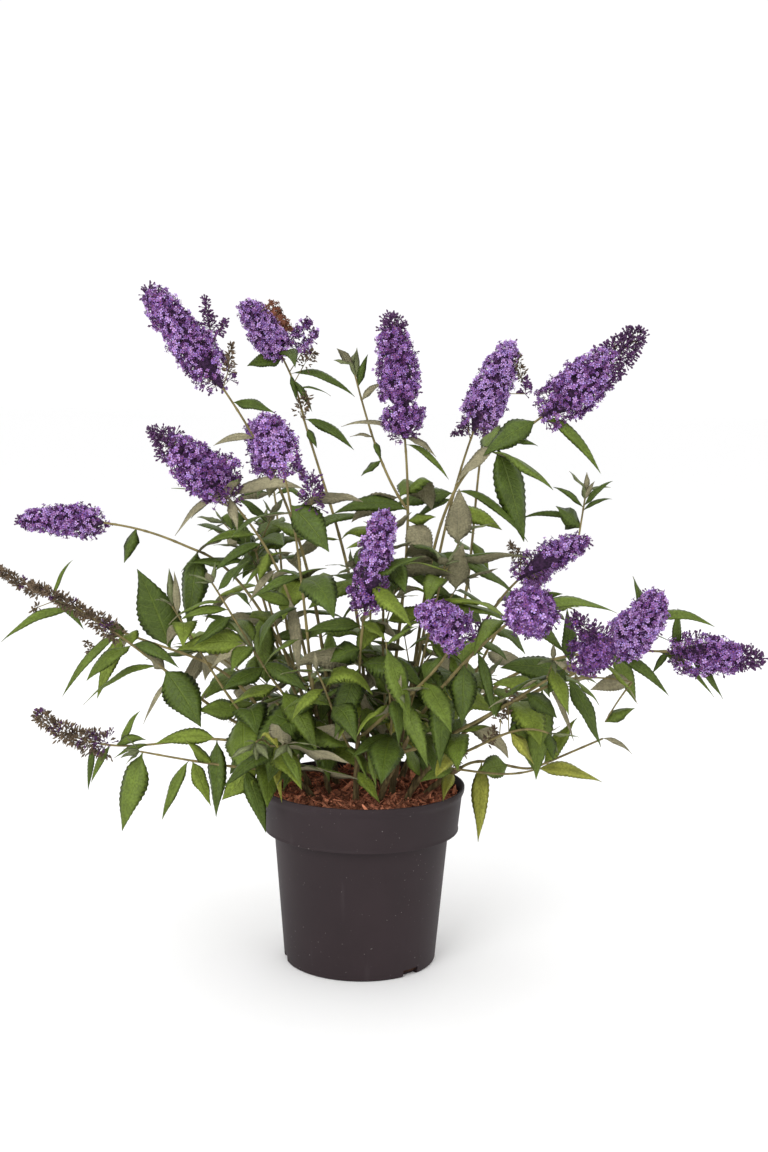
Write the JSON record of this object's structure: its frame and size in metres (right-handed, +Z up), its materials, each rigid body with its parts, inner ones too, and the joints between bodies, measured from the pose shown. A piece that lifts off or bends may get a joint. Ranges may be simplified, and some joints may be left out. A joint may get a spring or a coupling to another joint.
{
  "type": "butterfly bush in nursery pot",
  "caption": "Potted butterfly bush: arching leafy shoots with cone-shaped flower heads rise from bark mulch in a round black nursery pot.",
  "frame": {"origin": "centre of the pot's flat underside", "axes": "+Z up along the pot's axis, +X to the right and -Y to the front, as first seen"},
  "size_m": [0.8563, 0.5536, 0.7477],
  "materials": {
    "pot_plastic": "matt black moulded plastic with faint scuffs",
    "bark_mulch": "damp shredded red-brown bark",
    "cane_bark": "tan peeling bark",
    "flowering_shoot": "violet florets over dull green leaves",
    "leafy_shoot": "dull deep green leaves, grey felted beneath"
  },
  "bodies": {
    "root": {"pot": "pot_plastic", "soil": "bark_mulch", "cane_left_back": "cane_bark", "cane_back_middle": "cane_bark", "cane_centre": "cane_bark", "cane_right": "cane_bark", "cane_right_back": "cane_bark", "cane_left": "cane_bark", "cane_low_left": "cane_bark", "cane_lowest_left": "cane_bark", "cane_front": "cane_bark", "cane_front_right": "cane_bark", "cane_right_front": "cane_bark", "cane_far_right": "cane_bark", "cane_low_right": "cane_bark", "cane_back": "cane_bark", "cane_back_left": "cane_bark", "cane_back_right": "cane_bark", "upper_left": "flowering_shoot", "upper_middle_left": "flowering_shoot", "upper_middle": "flowering_shoot", "upper_middle_right": "flowering_shoot", "upper_right": "flowering_shoot", "high_left": "flowering_shoot", "middle_left": "flowering_shoot", "far_left": "flowering_shoot", "far_left_spent": "flowering_shoot", "left_spent": "flowering_shoot", "low_left_spent": "flowering_shoot", "centre": "flowering_shoot", "front_middle": "flowering_shoot", "front_right": "flowering_shoot", "right_high": "flowering_shoot", "front_right_low": "flowering_shoot", "right_front": "flowering_shoot", "far_right": "flowering_shoot", "back_tall": "flowering_shoot", "back_right": "flowering_shoot", "back": "flowering_shoot", "back_left": "flowering_shoot", "back_far_left": "flowering_shoot", "tall_leafy": "leafy_shoot", "right_leafy": "leafy_shoot", "left_leafy": "leafy_shoot", "left_young": "leafy_shoot", "left_hanging": "leafy_shoot", "front_left": "leafy_shoot", "front_short": "leafy_shoot", "front_right_leafy": "leafy_shoot", "front_low": "leafy_shoot", "low_right": "leafy_shoot", "right_hanging": "leafy_shoot", "inner_left": "leafy_shoot", "inner_right": "leafy_shoot", "inner_middle": "leafy_shoot", "back_low": "leafy_shoot", "back_left_leafy": "leafy_shoot", "back_left_low": "leafy_shoot", "back_right_leafy": "leafy_shoot", "back_right_low": "leafy_shoot"}
  },
  "joints": []
}
